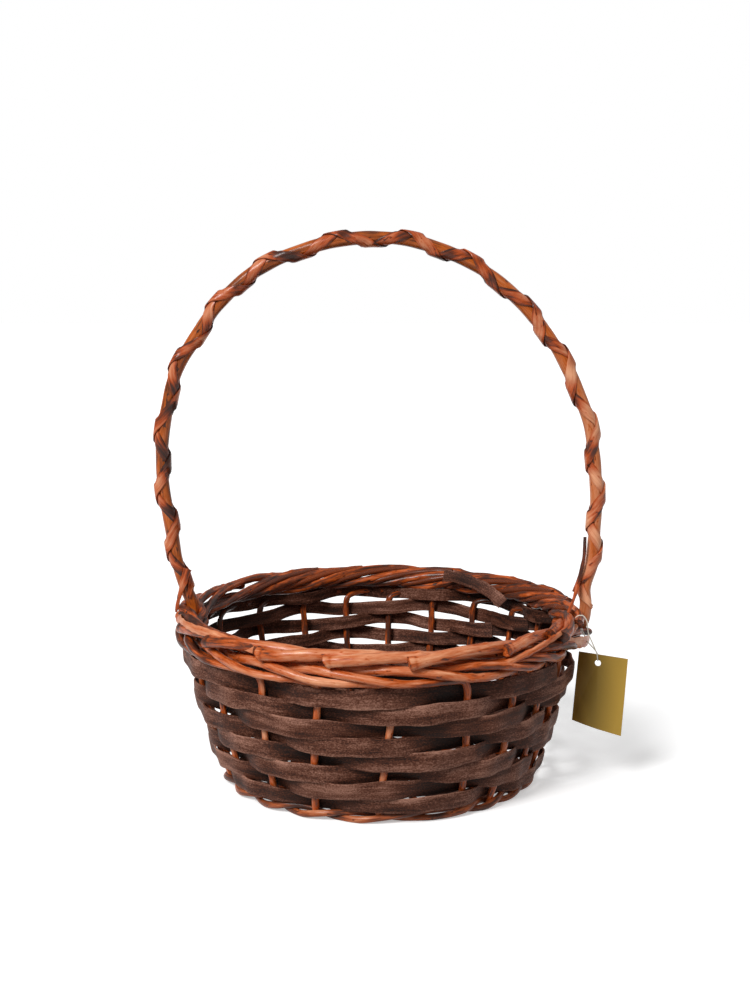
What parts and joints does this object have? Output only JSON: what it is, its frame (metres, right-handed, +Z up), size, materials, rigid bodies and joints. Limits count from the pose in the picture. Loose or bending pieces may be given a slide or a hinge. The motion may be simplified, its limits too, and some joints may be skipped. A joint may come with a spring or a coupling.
{
  "type": "round basket",
  "caption": "Round woven basket with a braided willow border, a twined foot, a woven base and a fixed hooped handle bound with splints.",
  "frame": {"origin": "on the surface that the basket stands on, under the crossing of the base sticks, which is the middle of the round body", "axes": "+Z up; the handle's hoop lies in the plane y = 0 with its legs at -X and +X; -Y is the front shown in the picture"},
  "size_m": [0.3498, 0.3036, 0.4061],
  "materials": {
    "willow_rod": "stained and varnished, gloss",
    "wood_chip": "stained dark brown, satin",
    "foot_willow": "stained and varnished, gloss",
    "base_stick": "stained, satin",
    "handle_willow": "stained and varnished, gloss",
    "handle_splint": "stained and varnished, satin",
    "tag_card": "metallic gold coating, satin",
    "tag_thread": "fine twisted thread"
  },
  "bodies": {
    "basket": {"stake_01": "willow_rod", "stake_02": "willow_rod", "stake_03": "willow_rod", "stake_04": "willow_rod", "stake_05": "willow_rod", "stake_06": "willow_rod", "stake_07": "willow_rod", "stake_08": "willow_rod", "stake_09": "willow_rod", "stake_10": "willow_rod", "stake_11": "willow_rod", "stake_12": "willow_rod", "stake_13": "willow_rod", "stake_14": "willow_rod", "stake_15": "willow_rod", "stake_16": "willow_rod", "stake_17": "willow_rod", "stake_18": "willow_rod", "stake_19": "willow_rod", "stake_20": "willow_rod", "stake_21": "willow_rod", "wall_chip_01": "wood_chip", "wall_chip_02": "wood_chip", "wall_chip_03": "wood_chip", "wall_chip_04": "wood_chip", "wall_chip_05": "wood_chip", "wall_chip_06": "wood_chip", "wall_chip_07": "wood_chip", "wall_chip_08": "wood_chip", "wall_chip_09": "wood_chip", "foot_rod_a": "foot_willow", "foot_rod_b": "foot_willow", "base_stick_lower_01": "base_stick", "base_stick_upper_01": "base_stick", "base_stick_lower_02": "base_stick", "base_stick_upper_02": "base_stick", "base_stick_lower_03": "base_stick", "base_stick_upper_03": "base_stick", "base_stick_lower_04": "base_stick", "base_stick_upper_04": "base_stick", "base_stick_lower_05": "base_stick", "base_stick_upper_05": "base_stick", "base_chip_01": "wood_chip", "base_chip_02": "wood_chip", "base_chip_03": "wood_chip", "base_chip_04": "wood_chip", "base_chip_05": "wood_chip", "base_chip_06": "wood_chip", "handle_core": "handle_willow", "handle_splint_inner": "handle_splint", "handle_splint_outer": "handle_splint"},
    "tag": {"hang_tag": "tag_card", "tag_thread": "tag_thread"}
  },
  "joints": [
    {"name": "tag_swing", "type": "hinge", "parent": "basket", "child": "tag", "pos_m": [0.1467, -0.0327, 0.1226], "axis": [-0.1539, -0.9881, 0], "range_deg": [0, 75]}
  ]
}
